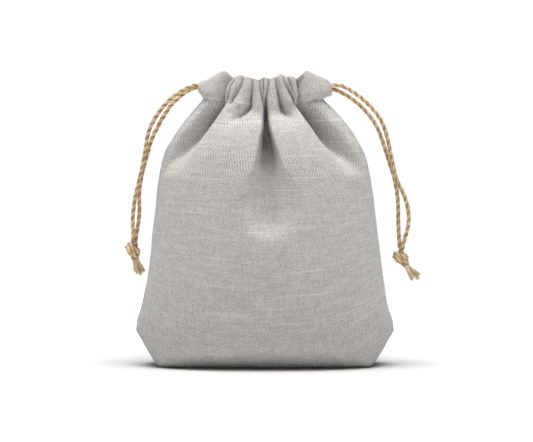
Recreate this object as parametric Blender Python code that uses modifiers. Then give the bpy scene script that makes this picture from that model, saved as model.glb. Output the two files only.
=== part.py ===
"""A small drawstring pouch of plain-woven cloth, standing upright and drawn shut by two jute cords.

Metres, +Z up. The origin is at the middle of the base, on the surface that the pouch stands on.
The front of the pouch faces -Y. The cloth is one length, folded at the bottom and sewn up both sides.
"""

import math

import bmesh
import bpy
import numpy as np
from mathutils import Matrix, Vector

# Driving dimensions of the cloth
CLOTH_THICKNESS = 0.0012
CLOTH_HEIGHT = 0.173  # from the bottom fold to the top edge, along the cloth
STITCH_UP = 0.158  # where the casing's stitch line runs, along the cloth
EAR_PEAK = 0.0034  # how far the rim rises where each casing end begins
EAR_PEAK_X = 0.0205
EAR_PEAK_WIDTH = 0.0060
RIM_DIP = 0.25  # how far the rim dips into a fold, as a share of the fold's depth
FOLD_SHARPNESS = 1.35  # 1 gives a knife-edged fold and 2 a rounded one
SEAM_HELD = 0.0100  # no fold reaches the side seams, and each fades over this distance

# Driving dimensions of the cord
CORD_DIAMETER = 0.0021
CORD_WAIST = 0.0015  # across both plies at their narrowest
CORD_LAY = 0.0070  # one full turn of the plies
CORD_STEPS_PER_LAY = 8
KNOT_STRAND = 0.0034  # both cords together, where they are knotted
TUFT_DIAMETER = 0.0013

CLOTH_COLOUR = (0.52, 0.51, 0.49, 1.0)
JUTE_COLOUR = (0.58, 0.42, 0.24, 1.0)

# One row for each section of the pouch, from the bottom fold to the top edge.
# up: distance along the cloth; mid_z and seam_z: height at the middle of the front and at the side seams;
# left, right and depth: half sizes in plan; flat: share of the half width that stays at mid_z;
# power: how sharply the section then rises to the seam; square: exponent of the plan's superellipse.
SECTION_COLUMNS = ("up", "mid_z", "seam_z", "left", "right", "depth", "flat", "power", "square")
SECTIONS = [
    (0.0000, 0.0000, 0.0170, 0.0645, 0.0645, 0.0000, 0.82, 1.2, 2.6),
    (0.0100, 0.0000, 0.0182, 0.0645, 0.0645, 0.0105, 0.82, 1.2, 2.6),
    (0.0200, 0.0000, 0.0200, 0.0643, 0.0643, 0.0205, 0.80, 1.2, 2.6),
    (0.0270, 0.0030, 0.0225, 0.0638, 0.0637, 0.0265, 0.72, 1.3, 2.5),
    (0.0350, 0.0100, 0.0275, 0.0621, 0.0620, 0.0300, 0.55, 1.4, 2.4),
    (0.0500, 0.0250, 0.0375, 0.0598, 0.0600, 0.0322, 0.35, 1.6, 2.3),
    (0.0700, 0.0450, 0.0530, 0.0576, 0.0580, 0.0330, 0.20, 1.8, 2.2),
    (0.0900, 0.0650, 0.0705, 0.0557, 0.0558, 0.0325, 0.10, 2.0, 2.1),
    (0.1150, 0.0900, 0.0925, 0.0533, 0.0530, 0.0300, 0.00, 2.0, 2.0),
    (0.1290, 0.1035, 0.1045, 0.0508, 0.0502, 0.0268, 0.00, 2.0, 2.0),
    (0.1390, 0.1125, 0.1135, 0.0462, 0.0456, 0.0228, 0.00, 2.0, 2.0),
    (0.1490, 0.1210, 0.1225, 0.0398, 0.0392, 0.0176, 0.00, 2.0, 2.1),
    (0.1550, 0.1264, 0.1290, 0.0346, 0.0332, 0.0132, 0.00, 2.0, 2.2),
    (0.1580, 0.1292, 0.1332, 0.0312, 0.0296, 0.0110, 0.00, 2.0, 2.4),
    (0.1605, 0.1316, 0.1355, 0.0322, 0.0324, 0.0108, 0.00, 2.0, 2.4),
    (0.1640, 0.1350, 0.1374, 0.0335, 0.0339, 0.0108, 0.00, 2.0, 2.3),
    (0.1680, 0.1389, 0.1395, 0.0340, 0.0343, 0.0106, 0.00, 2.0, 2.2),
    (0.1705, 0.1413, 0.1411, 0.0330, 0.0336, 0.0104, 0.00, 2.0, 2.2),
    (0.1730, 0.1437, 0.1424, 0.0308, 0.0316, 0.0100, 0.00, 2.0, 2.2),
]

# The folds of the gathered cloth, from left to right, each from the top edge down to where it has faded out.
# up: distance along the cloth; x: where the fold is; deep: how far it lies behind the cloth beside it;
# wide: the distance over which it rises again.
FOLD_COLUMNS = ("up", "x", "deep", "wide")
FRONT_FOLDS = {
    "left_valley": [
        (0.173, -0.0165, 0.0040, 0.0024), (0.165, -0.0190, 0.0042, 0.0026), (0.158, -0.0218, 0.0060, 0.0032),
        (0.153, -0.0252, 0.0084, 0.0040), (0.146, -0.0318, 0.0076, 0.0052), (0.140, -0.0374, 0.0052, 0.0060),
        (0.134, -0.0412, 0.0024, 0.0066), (0.126, -0.0440, 0.0000, 0.0070),
    ],
    "left_tuck": [
        (0.173, -0.0118, 0.0022, 0.0018), (0.165, -0.0134, 0.0020, 0.0019), (0.158, -0.0152, 0.0017, 0.0022),
        (0.152, -0.0180, 0.0005, 0.0030), (0.147, -0.0210, 0.0000, 0.0030),
    ],
    "left_pleat": [
        (0.173, -0.0062, 0.0040, 0.0019), (0.165, -0.0070, 0.0042, 0.0020), (0.158, -0.0084, 0.0046, 0.0024),
        (0.154, -0.0112, 0.0038, 0.0029), (0.150, -0.0150, 0.0018, 0.0036), (0.144, -0.0180, 0.0000, 0.0040),
    ],
    "left_of_middle": [
        (0.173, -0.0022, 0.0019, 0.0016), (0.165, -0.0028, 0.0016, 0.0016), (0.158, -0.0036, 0.0006, 0.0018),
        (0.152, -0.0050, 0.0000, 0.0020),
    ],
    "middle_valley": [
        (0.173, 0.0015, 0.0034, 0.0018), (0.165, 0.0010, 0.0044, 0.0020), (0.158, 0.0005, 0.0058, 0.0025),
        (0.149, 0.0006, 0.0088, 0.0038), (0.139, 0.0005, 0.0092, 0.0054), (0.129, 0.0008, 0.0066, 0.0070),
        (0.119, 0.0010, 0.0030, 0.0084), (0.104, 0.0012, 0.0000, 0.0090),
    ],
    "right_pleat": [
        (0.173, 0.0054, 0.0038, 0.0019), (0.165, 0.0066, 0.0040, 0.0020), (0.158, 0.0082, 0.0046, 0.0024),
        (0.154, 0.0100, 0.0040, 0.0027), (0.150, 0.0124, 0.0018, 0.0032), (0.144, 0.0146, 0.0000, 0.0036),
    ],
    "right_tuck": [
        (0.173, 0.0100, 0.0026, 0.0019), (0.165, 0.0120, 0.0025, 0.0019), (0.158, 0.0140, 0.0020, 0.0021),
        (0.153, 0.0165, 0.0006, 0.0026), (0.148, 0.0190, 0.0000, 0.0030),
    ],
    "right_valley": [
        (0.173, 0.0156, 0.0042, 0.0024), (0.165, 0.0170, 0.0044, 0.0026), (0.158, 0.0190, 0.0060, 0.0032),
        (0.152, 0.0226, 0.0084, 0.0040), (0.145, 0.0294, 0.0078, 0.0052), (0.138, 0.0362, 0.0056, 0.0060),
        (0.132, 0.0404, 0.0028, 0.0066), (0.124, 0.0430, 0.0000, 0.0070),
    ],
}
BACK_FOLDS = {
    "left_valley": [
        (0.173, -0.0160, 0.0034, 0.0024), (0.165, -0.0172, 0.0036, 0.0026), (0.158, -0.0190, 0.0052, 0.0034),
        (0.150, -0.0236, 0.0060, 0.0046), (0.141, -0.0310, 0.0040, 0.0062), (0.128, -0.0370, 0.0000, 0.0070),
    ],
    "left_tuck": [
        (0.173, -0.0112, 0.0018, 0.0019), (0.165, -0.0118, 0.0017, 0.0019), (0.158, -0.0130, 0.0014, 0.0022),
        (0.152, -0.0150, 0.0000, 0.0030),
    ],
    "left_pleat": [
        (0.173, -0.0068, 0.0028, 0.0019), (0.165, -0.0070, 0.0030, 0.0020), (0.158, -0.0078, 0.0038, 0.0026),
        (0.152, -0.0096, 0.0024, 0.0034), (0.144, -0.0120, 0.0000, 0.0040),
    ],
    "left_of_middle": [
        (0.173, -0.0022, 0.0024, 0.0018), (0.165, -0.0018, 0.0030, 0.0020), (0.158, -0.0015, 0.0046, 0.0028),
        (0.148, -0.0018, 0.0056, 0.0046), (0.134, -0.0024, 0.0036, 0.0070), (0.112, -0.0030, 0.0000, 0.0090),
    ],
    "right_of_middle": [
        (0.173, 0.0028, 0.0018, 0.0018), (0.165, 0.0034, 0.0017, 0.0018), (0.158, 0.0042, 0.0012, 0.0020),
        (0.152, 0.0052, 0.0000, 0.0026),
    ],
    "right_pleat": [
        (0.173, 0.0074, 0.0030, 0.0020), (0.165, 0.0082, 0.0030, 0.0021), (0.158, 0.0094, 0.0038, 0.0026),
        (0.150, 0.0120, 0.0028, 0.0038), (0.141, 0.0150, 0.0000, 0.0050),
    ],
    "right_tuck": [
        (0.173, 0.0122, 0.0018, 0.0019), (0.165, 0.0132, 0.0017, 0.0019), (0.158, 0.0146, 0.0012, 0.0022),
        (0.152, 0.0170, 0.0000, 0.0028),
    ],
    "right_valley": [
        (0.173, 0.0168, 0.0034, 0.0024), (0.165, 0.0184, 0.0036, 0.0026), (0.158, 0.0204, 0.0054, 0.0034),
        (0.151, 0.0250, 0.0062, 0.0046), (0.142, 0.0330, 0.0042, 0.0060), (0.130, 0.0390, 0.0000, 0.0070),
    ],
}
# Soft swellings beside and below the folds: place in x, distance up the cloth, height, and size each way.
SWELLING_COLUMNS = ("x", "up", "high", "wide", "tall")
FRONT_SWELLINGS = [
    (-0.0165, 0.140, 0.0026, 0.0110, 0.0130),
    (0.0155, 0.139, 0.0026, 0.0110, 0.0130),
    (0.0015, 0.095, 0.0014, 0.0150, 0.0150),
]
BACK_SWELLINGS = [
    (-0.0200, 0.132, 0.0014, 0.0120, 0.0140),
    (0.0140, 0.134, 0.0014, 0.0120, 0.0140),
]
SIDES = (
    {"facing": -1, "folds": FRONT_FOLDS, "swellings": FRONT_SWELLINGS},
    {"facing": 1, "folds": BACK_FOLDS, "swellings": BACK_SWELLINGS},
)
COLUMNS_BETWEEN_FOLDS = 4
COLUMNS_AT_SIDES = 7
EVEN_COLUMNS_UP = 0.050  # below this the columns are evenly spaced, so that the two halves meet
ROW_UPS = [
    0.0, 0.010, 0.020, 0.0225, 0.025, 0.0275, 0.031, 0.035, 0.042, 0.051, 0.063, 0.075, 0.086, 0.097, 0.108,
    0.117, 0.124, 0.130, 0.136, 0.141, 0.146, 0.150, 0.154, 0.1565, 0.158, 0.1605, 0.164, 0.168, 0.1705, 0.173,
]

# The hole at the end of each casing, where the cords come out: centre and half sizes.
CASING_HOLES = {
    "left": {"centre": (-0.0345, 0.0001, 0.1394), "half": (0.0040, 0.0025, 0.0024)},
    "right": {"centre": (0.0345, 0.0002, 0.1388), "half": (0.0040, 0.0024, 0.0030)},
}

# The route of each cord, from inside its casing to the knot, chosen by hand: x, y, z.
CORD_ROUTES = {
    "left_cord_front": [
        (-0.0290, -0.0010, 0.1396), (-0.0343, -0.0010, 0.1399), (-0.0392, -0.0013, 0.1383),
        (-0.0440, -0.0018, 0.1355), (-0.0478, -0.0022, 0.1323), (-0.0509, -0.0025, 0.1290),
        (-0.0535, -0.0027, 0.1255), (-0.0560, -0.0028, 0.1213), (-0.0578, -0.0028, 0.1172),
        (-0.0589, -0.0027, 0.1125), (-0.0599, -0.0024, 0.1060), (-0.0613, -0.0020, 0.0990),
        (-0.0630, -0.0017, 0.0915), (-0.0646, -0.0015, 0.0850), (-0.0656, -0.0014, 0.0785),
        (-0.0662, -0.0013, 0.0715), (-0.0664, -0.0009, 0.0665), (-0.0666, -0.0004, 0.0622),
    ],
    "left_cord_back": [
        (-0.0290, 0.0013, 0.1386), (-0.0343, 0.0013, 0.1389), (-0.0394, 0.0011, 0.1366),
        (-0.0438, 0.0009, 0.1331), (-0.0473, 0.0008, 0.1296), (-0.0496, 0.0007, 0.1261),
        (-0.0518, 0.0006, 0.1226), (-0.0537, 0.0005, 0.1188), (-0.0556, 0.0004, 0.1152),
        (-0.0572, 0.0004, 0.1112), (-0.0590, 0.0006, 0.1050), (-0.0606, 0.0008, 0.0990),
        (-0.0622, 0.0010, 0.0920), (-0.0629, 0.0011, 0.0855), (-0.0628, 0.0011, 0.0780),
        (-0.0632, 0.0011, 0.0710), (-0.0638, 0.0008, 0.0665), (-0.0642, 0.0004, 0.0622),
    ],
    "right_cord_front": [
        (0.0290, -0.0004, 0.1392), (0.0345, -0.0004, 0.1400), (0.0380, -0.0008, 0.1397),
        (0.0415, -0.0012, 0.1381), (0.0450, -0.0016, 0.1359), (0.0485, -0.0020, 0.1332),
        (0.0520, -0.0023, 0.1300), (0.0553, -0.0025, 0.1262), (0.0580, -0.0026, 0.1222),
        (0.0598, -0.0026, 0.1176), (0.0611, -0.0025, 0.1130), (0.0624, -0.0023, 0.1070),
        (0.0640, -0.0020, 0.0995), (0.0661, -0.0018, 0.0920), (0.0690, -0.0017, 0.0860),
        (0.0709, -0.0017, 0.0805), (0.0718, -0.0017, 0.0745), (0.0712, -0.0016, 0.0685),
        (0.0700, -0.0010, 0.0627), (0.0693, -0.0004, 0.0587),
    ],
    "right_cord_back": [
        (0.0290, 0.0008, 0.1370), (0.0345, 0.0008, 0.1378), (0.0380, 0.0009, 0.1364),
        (0.0415, 0.0010, 0.1344), (0.0450, 0.0010, 0.1320), (0.0485, 0.0010, 0.1290),
        (0.0517, 0.0010, 0.1255), (0.0545, 0.0010, 0.1216), (0.0566, 0.0009, 0.1178),
        (0.0581, 0.0009, 0.1140), (0.0599, 0.0009, 0.1085), (0.0618, 0.0010, 0.1025),
        (0.0638, 0.0012, 0.0965), (0.0652, 0.0013, 0.0910), (0.0662, 0.0012, 0.0850),
        (0.0666, 0.0011, 0.0785), (0.0667, 0.0011, 0.0715), (0.0668, 0.0008, 0.0650),
        (0.0669, 0.0004, 0.0587),
    ],
}

# An overhand knot of both cords, as the line of its middle, from the cords above to the tail below.
KNOT_LINE = [
    (0.0004, 0.0000, 0.0042), (0.0004, 0.0006, 0.0018), (0.0013, 0.0012, -0.0010), (0.0002, 0.0020, -0.0020),
    (-0.0014, 0.0020, -0.0002), (-0.0024, 0.0010, 0.0019), (-0.0026, -0.0008, 0.0027), (-0.0014, -0.0020, 0.0016),
    (0.0006, -0.0022, -0.0003), (0.0022, -0.0012, -0.0016), (0.0023, 0.0006, -0.0006), (0.0012, 0.0008, -0.0014),
    (0.0009, 0.0000, -0.0034), (0.0015, -0.0002, -0.0052),
]
# Each knot: where its middle is, how it leans, and where the tips of its four tufts are, from that middle.
KNOTS = {
    "left_knot": {
        "centre": (-0.0659, 0.0000, 0.0573),
        "lean": math.radians(0),
        "tufts": [
            (-0.0002, 0.0006, -0.0106), (0.0016, -0.0014, -0.0114),
            (0.0036, 0.0010, -0.0123), (0.0062, -0.0004, -0.0104),
        ],
    },
    "right_knot": {
        "centre": (0.0682, 0.0000, 0.0537),
        "lean": math.radians(-20),
        "tufts": [
            (0.0056, 0.0008, -0.0112), (0.0064, -0.0012, -0.0100),
            (0.0084, 0.0008, -0.0108), (0.0091, -0.0006, -0.0080),
        ],
    },
}
KNOT_VOXEL = 0.00042
KNOT_FACES_KEPT = 0.14


def monotone(stations, values, at):
    """Values read from a smooth curve through the stations, which never overshoots them."""
    x, y, at = (np.asarray(item, float) for item in (stations, values, at))
    step = np.diff(x)
    slope = np.diff(y) / step
    tangent = np.zeros(len(x))
    same_way = slope[:-1] * slope[1:] > 0
    before, after = slope[:-1][same_way], slope[1:][same_way]
    tangent[1:-1][same_way] = 2 * before * after / (before + after)
    tangent[0], tangent[-1] = slope[0], slope[-1]
    i = np.clip(np.searchsorted(x, at, side="right") - 1, 0, len(x) - 2)
    t = np.clip((at - x[i]) / step[i], 0, 1)
    return (
        y[i] * (1 + 2 * t) * (1 - t) ** 2
        + y[i + 1] * t * t * (3 - 2 * t)
        + step[i] * (tangent[i] * t * (1 - t) ** 2 - tangent[i + 1] * t * t * (1 - t))
    )


def smoothstep(low, high, value):
    t = np.clip((value - low) / (high - low), 0, 1)
    return t * t * (3 - 2 * t)


def section_at(up):
    """The section at that distance along the cloth, by column name."""
    ups = [row[0] for row in SECTIONS]
    return {
        name: float(monotone(ups, [row[i] for row in SECTIONS], up))
        for i, name in enumerate(SECTION_COLUMNS)
    }


def half_ring(facing, up):
    """Points along the front (-1) or back (1) half of the section there, and each one's place along it."""
    section = section_at(up)
    turn = np.linspace(-math.pi / 2, math.pi / 2, 601)
    reach = np.where(turn < 0, section["left"], section["right"])
    exponent = 2 / section["square"]
    x = reach * np.sign(np.sin(turn)) * np.abs(np.sin(turn)) ** exponent
    y = facing * section["depth"] * np.abs(np.cos(turn)) ** exponent
    rise = np.clip((np.abs(x) / reach - section["flat"]) / (1 - section["flat"]), 0, 1)
    z = section["mid_z"] + (section["seam_z"] - section["mid_z"]) * rise ** section["power"]
    steps = np.linalg.norm(np.diff(np.stack([x, y, z]), axis=1), axis=0)
    along = np.concatenate([[0], np.cumsum(steps)])
    return np.stack([x, y, z], axis=1), along


def fold_at(stations, up):
    """A fold's x, depth and width at that distance along the cloth."""
    stations = sorted(stations)
    ups = [row[0] for row in stations]
    found = {
        name: float(monotone(ups, [row[i] for row in stations], max(up, ups[0])))
        for i, name in enumerate(FOLD_COLUMNS)
    }
    found["deep"] *= smoothstep(ups[0] - 0.001, ups[0] + 0.001, up)
    return found


def column_places(side, up):
    """How far along the ring each column of the cloth lies, following the folds and then evening out."""
    ring, along = half_ring(side["facing"], up)
    even = np.linspace(0, 1, 2 * COLUMNS_AT_SIDES + COLUMNS_BETWEEN_FOLDS * (len(side["folds"]) - 1) + 1)
    lines = [COLUMNS_AT_SIDES + COLUMNS_BETWEEN_FOLDS * i for i in range(len(side["folds"]))]
    followed = [0.0]
    for column, stations in zip(lines, side["folds"].values()):
        lowest = min(stations)
        low_ring, low_along = half_ring(side["facing"], lowest[0])
        ends_at = np.interp(lowest[1], low_ring[:, 0], low_along) / low_along[-1]
        here = np.interp(fold_at(stations, up)["x"], ring[:, 0], along) / along[-1]
        follow = smoothstep(EVEN_COLUMNS_UP, lowest[0], up)
        followed.append(here if up >= lowest[0] else even[column] + (ends_at - even[column]) * follow)
    followed.append(1.0)
    return np.interp(np.arange(len(even)), [0] + lines + [len(even) - 1], followed) * along[-1]


def cloth_row(side, up):
    """The points of one row of the cloth, as an array of x, y and z."""
    ring, along = half_ring(side["facing"], up)
    at = column_places(side, up)
    points = np.stack([np.interp(at, along, ring[:, axis]) for axis in range(3)], axis=1)
    inward = np.zeros(len(at))
    for stations in side["folds"].values():
        fold = fold_at(stations, up)
        away = np.abs(at - np.interp(fold["x"], ring[:, 0], along)) / fold["wide"]
        inward += fold["deep"] * np.exp(-(away**FOLD_SHARPNESS))
    for row in side["swellings"]:
        swelling = dict(zip(SWELLING_COLUMNS, row))
        away = at - np.interp(swelling["x"], ring[:, 0], along)
        far = (away / swelling["wide"]) ** 2 + ((up - swelling["up"]) / swelling["tall"]) ** 2
        inward -= swelling["high"] * np.exp(-far)
    inward *= smoothstep(0, SEAM_HELD, np.minimum(at, along[-1] - at))
    outward = np.stack([np.gradient(ring[:, 1]), -np.gradient(ring[:, 0])], axis=1) * -side["facing"]
    outward /= np.maximum(np.linalg.norm(outward, axis=1), 1e-9)[:, None]
    for axis in range(2):
        points[:, axis] -= inward * np.interp(at, along, outward[:, axis])
    casing = smoothstep(STITCH_UP, CLOTH_HEIGHT, up)
    ears = np.exp(-(((np.abs(points[:, 0]) - EAR_PEAK_X) / EAR_PEAK_WIDTH) ** 2))
    points[:, 2] += casing * (EAR_PEAK * ears - RIM_DIP * inward)
    return points


def finish_object(obj, collection, colour, roughness):
    """Puts an object in its collection with its own material."""
    for old in list(obj.users_collection):
        old.objects.unlink(obj)
    collection.objects.link(obj)
    material = bpy.data.materials.new(obj.name)
    material.use_nodes = True
    shader = material.node_tree.nodes["Principled BSDF"]
    shader.inputs["Base Color"].default_value = colour
    shader.inputs["Roughness"].default_value = roughness
    shader.inputs["Metallic"].default_value = 0.0
    obj.data.materials.clear()
    obj.data.materials.append(material)


def panel(side):
    """The front or the back of the cloth as a grid, moved to where it hangs."""
    rows = [cloth_row(side, up) for up in ROW_UPS]
    last_row, last_column = len(rows) - 1, len(rows[0]) - 1
    grid = bmesh.new()
    bmesh.ops.create_grid(grid, x_segments=last_column, y_segments=last_row, size=1.0)
    for vertex in grid.verts:
        column = round((vertex.co.x + 1) / 2 * last_column)
        row = round((vertex.co.y + 1) / 2 * last_row)
        vertex.co = rows[row][column]
    mesh = bpy.data.meshes.new("panel")
    grid.to_mesh(mesh)
    grid.free()
    return mesh


def casing_hole(name, collection):
    """A round-ended cutter that opens the end of a casing."""
    place = CASING_HOLES[name]
    bpy.ops.mesh.primitive_cylinder_add(
        vertices=16, radius=1.0, depth=2.0, location=place["centre"], rotation=(0, math.pi / 2, 0)
    )
    cutter = bpy.context.object
    cutter.name = name + "_hole_cutter"
    half_x, half_y, half_z = place["half"]
    cutter.scale = (half_z, half_y, half_x)
    for old in list(cutter.users_collection):
        old.objects.unlink(cutter)
    collection.objects.link(cutter)
    cutter.hide_render = True
    cutter.display_type = "WIRE"
    return cutter


def pouch_cloth(collection, cutters):
    """The cloth: both halves sewn into one sheet, given its thickness, and open at the casing ends."""
    joined = bmesh.new()
    for side in SIDES:
        mesh = panel(side)
        joined.from_mesh(mesh)
        bpy.data.meshes.remove(mesh)
    bmesh.ops.remove_doubles(joined, verts=joined.verts, dist=0.00002)
    bmesh.ops.recalc_face_normals(joined, faces=joined.faces)
    bmesh.ops.triangulate(joined, faces=joined.faces, quad_method="SHORT_EDGE")
    joined.normal_update()
    if min(joined.faces, key=lambda face: face.calc_center_median().z).normal.z > 0:
        bmesh.ops.reverse_faces(joined, faces=joined.faces)
    middle = (max(v.co.y for v in joined.verts) + min(v.co.y for v in joined.verts)) / 2
    bmesh.ops.translate(joined, verts=joined.verts, vec=Vector((0, -middle, 0)))
    mesh = bpy.data.meshes.new("pouch_cloth")
    joined.to_mesh(mesh)
    joined.free()
    mesh.shade_smooth()
    cloth = bpy.data.objects.new("pouch_cloth", mesh)
    finish_object(cloth, collection, CLOTH_COLOUR, 0.9)
    wall = cloth.modifiers.new("thickness", "SOLIDIFY")
    wall.thickness = CLOTH_THICKNESS
    wall.offset = -1
    wall.use_even_offset = True
    for name in CASING_HOLES:
        cut = cloth.modifiers.new(name + " casing end", "BOOLEAN")
        cut.operation = "DIFFERENCE"
        cut.object = casing_hole(name, cutters)
    return cloth


def smooth_line(points, step):
    """Points about a step apart, along a smooth curve through the given ones."""
    points = np.array(points, float)
    chord = np.concatenate([[0], np.cumsum(np.linalg.norm(np.diff(points, axis=0), axis=1))])
    slope = np.gradient(points, chord, axis=0)
    at = np.linspace(0, chord[-1], math.ceil(chord[-1] / step) + 1)
    i = np.clip(np.searchsorted(chord, at, side="right") - 1, 0, len(chord) - 2)
    span = (chord[i + 1] - chord[i])[:, None]
    t = (at - chord[i])[:, None] / span
    return (
        points[i] * (1 + 2 * t) * (1 - t) ** 2
        + points[i + 1] * t * t * (3 - 2 * t)
        + span * (slope[i] * t * (1 - t) ** 2 - slope[i + 1] * t * t * (1 - t))
    )


def poly_curve(name, lines, turn_per_point=0.0):
    """A curve with one straight-segment spline for each line, turned a little more at each point."""
    curve = bpy.data.curves.new(name, "CURVE")
    curve.dimensions = "3D"
    curve.use_fill_caps = True
    for line in lines:
        spline = curve.splines.new("POLY")
        spline.points.add(len(line) - 1)
        for i, (point, place) in enumerate(zip(spline.points, line)):
            point.co = (*place, 1.0)
            point.tilt = turn_per_point * i
    return curve


def ply_profile(collection):
    """The outline of two plies side by side, which is swept and turned to make the twisted cord."""
    radii = [CORD_DIAMETER / 2, CORD_WAIST / 2, CORD_WAIST / 2]
    curve = bpy.data.curves.new("ply_profile", "CURVE")
    curve.dimensions = "2D"
    spline = curve.splines.new("POLY")
    spline.points.add(5)
    for i, point in enumerate(spline.points):
        angle = math.radians(60 * i)
        reach = radii[i % 3]
        point.co = (reach * math.cos(angle), reach * math.sin(angle), 0.0, 1.0)
    spline.use_cyclic_u = True
    profile = bpy.data.objects.new("ply_profile", curve)
    collection.objects.link(profile)
    profile.hide_render = True
    return profile


def mesh_from(obj, name):
    """A mesh object with the shape of a curve object, with its loose caps closed."""
    evaluated = obj.evaluated_get(bpy.context.evaluated_depsgraph_get())
    mesh = bpy.data.meshes.new_from_object(evaluated)
    bpy.data.objects.remove(obj)
    work = bmesh.new()
    work.from_mesh(mesh)
    bmesh.ops.remove_doubles(work, verts=work.verts, dist=0.00001)
    bmesh.ops.recalc_face_normals(work, faces=work.faces)
    work.to_mesh(mesh)
    work.free()
    mesh.name = name
    return bpy.data.objects.new(name, mesh)


def twisted_cord(name, route, profile, collection):
    """One hanging run of cord, with the twist of its two plies raised."""
    line = smooth_line(route, CORD_LAY / CORD_STEPS_PER_LAY)
    curve = poly_curve(name + "_line", [line], 2 * math.pi / CORD_STEPS_PER_LAY)
    curve.bevel_mode = "OBJECT"
    curve.bevel_object = profile
    swept = bpy.data.objects.new(name + "_line", curve)
    bpy.context.scene.collection.objects.link(swept)
    bpy.context.view_layer.update()
    cord = mesh_from(swept, name)
    finish_object(cord, collection, JUTE_COLOUR, 0.85)
    cord.data.shade_smooth()
    return cord


def cord_knot(name, place, collection):
    """The overhand knot that joins a pair of cords, with its frayed tail, as one lumpy solid."""
    lean = Matrix.Rotation(place["lean"], 3, "Y")
    line = [lean @ Vector(point) for point in KNOT_LINE]
    knot = poly_curve(name + "_line", [smooth_line(line, KNOT_STRAND / 4)])
    knot.bevel_depth = KNOT_STRAND / 2
    knot.bevel_resolution = 2
    root = line[-1]
    tips = [Vector(tip) for tip in place["tufts"]]
    lines = [smooth_line([line[-2], root * 0.7 + tip * 0.3, tip], 0.001) for tip in tips]
    tufts = poly_curve(name + "_tufts", lines)
    tufts.bevel_depth = TUFT_DIAMETER / 2
    tufts.bevel_resolution = 2
    work = bmesh.new()
    for curve in (knot, tufts):
        swept = bpy.data.objects.new(curve.name, curve)
        bpy.context.scene.collection.objects.link(swept)
        bpy.context.view_layer.update()
        piece = mesh_from(swept, curve.name)
        work.from_mesh(piece.data)
        bpy.data.objects.remove(piece)
    bmesh.ops.translate(work, verts=work.verts, vec=Vector(place["centre"]))
    mesh = bpy.data.meshes.new(name)
    work.to_mesh(mesh)
    work.free()
    obj = bpy.data.objects.new(name, mesh)
    finish_object(obj, collection, JUTE_COLOUR, 0.85)
    fuse = obj.modifiers.new("fuse", "REMESH")
    fuse.mode = "VOXEL"
    fuse.voxel_size = KNOT_VOXEL
    fuse.use_smooth_shade = True
    thin = obj.modifiers.new("fewer faces", "DECIMATE")
    thin.ratio = KNOT_FACES_KEPT
    return obj


def build():
    for obj in list(bpy.data.objects):
        bpy.data.objects.remove(obj)
    pouch = bpy.data.collections.new("drawstring_pouch")
    helpers = bpy.data.collections.new("cutters")
    bpy.context.scene.collection.children.link(pouch)
    bpy.context.scene.collection.children.link(helpers)
    pouch_cloth(pouch, helpers)
    profile = ply_profile(helpers)
    for name, route in CORD_ROUTES.items():
        twisted_cord(name, route, profile, pouch)
    for name, place in KNOTS.items():
        cord_knot(name, place, pouch)


build()
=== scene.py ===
import math
import random
import bmesh
import bpy
import numpy as np
from mathutils import Matrix, Vector, noise


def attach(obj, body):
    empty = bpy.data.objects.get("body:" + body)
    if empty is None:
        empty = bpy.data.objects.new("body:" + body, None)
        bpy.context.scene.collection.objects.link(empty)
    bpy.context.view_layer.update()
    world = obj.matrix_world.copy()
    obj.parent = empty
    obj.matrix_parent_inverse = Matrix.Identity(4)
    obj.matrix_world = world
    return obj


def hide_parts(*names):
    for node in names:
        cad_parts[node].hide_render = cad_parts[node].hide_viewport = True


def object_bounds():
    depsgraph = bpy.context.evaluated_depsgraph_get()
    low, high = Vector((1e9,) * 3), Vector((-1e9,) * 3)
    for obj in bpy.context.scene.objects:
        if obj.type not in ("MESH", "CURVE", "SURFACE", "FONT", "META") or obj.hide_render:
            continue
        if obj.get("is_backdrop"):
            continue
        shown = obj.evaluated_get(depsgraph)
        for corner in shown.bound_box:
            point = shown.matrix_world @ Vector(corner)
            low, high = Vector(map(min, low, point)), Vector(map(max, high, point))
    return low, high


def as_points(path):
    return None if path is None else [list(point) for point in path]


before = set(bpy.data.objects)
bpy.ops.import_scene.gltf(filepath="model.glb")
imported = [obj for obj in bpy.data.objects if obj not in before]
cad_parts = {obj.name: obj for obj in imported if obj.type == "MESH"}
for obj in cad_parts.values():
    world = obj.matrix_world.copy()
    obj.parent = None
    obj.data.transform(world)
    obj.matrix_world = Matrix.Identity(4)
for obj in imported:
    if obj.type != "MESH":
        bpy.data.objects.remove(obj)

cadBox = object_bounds()  # the solids' box, before anything is dressed
mm = 0.001

# Camera: a long lens that looks slightly down at the pouch's middle
cameraSettings = {
    "aim": (0.00075, 0.0, 0.0722),
    "away": 1.2,
    "upDegrees": 3.0,
    "seenWidth": 0.2665,  # width of the picture where the pouch stands
    "sensor": 36.0,
    "clip": (0.05, 20),
}


def makeCamera(s):
    lens = bpy.data.cameras.new("photoCamera")
    lens.sensor_width = s["sensor"]
    lens.lens = s["sensor"] * s["away"] / s["seenWidth"]
    lens.clip_start, lens.clip_end = s["clip"]
    camera = bpy.data.objects.new("photoCamera", lens)
    rise = math.radians(s["upDegrees"])
    back = Vector((0, -math.cos(rise), math.sin(rise)))
    camera.location = Vector(s["aim"]) + back * s["away"]
    camera.rotation_euler = (-back).to_track_quat("-Z", "Y").to_euler()
    bpy.context.scene.collection.objects.link(camera)
    bpy.context.scene.camera = camera


makeCamera(cameraSettings)
print("camera placed")

# What the curves and meshes share
meshSettings = {
    "merge": 0.0000015,  # vertices this close become one
    "thinnest": 0.0000005,  # edges shorter than this are taken out
    "closedEnd": 1e-7,  # radius at the closed end of a tube
    "firstSide": (0.31, 0.95, 0.05),  # a direction that no tube runs along
}


def smoothstep(low, high, value):
    t = np.clip((value - low) / (high - low), 0, 1)
    return t * t * (3 - 2 * t)


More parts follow.
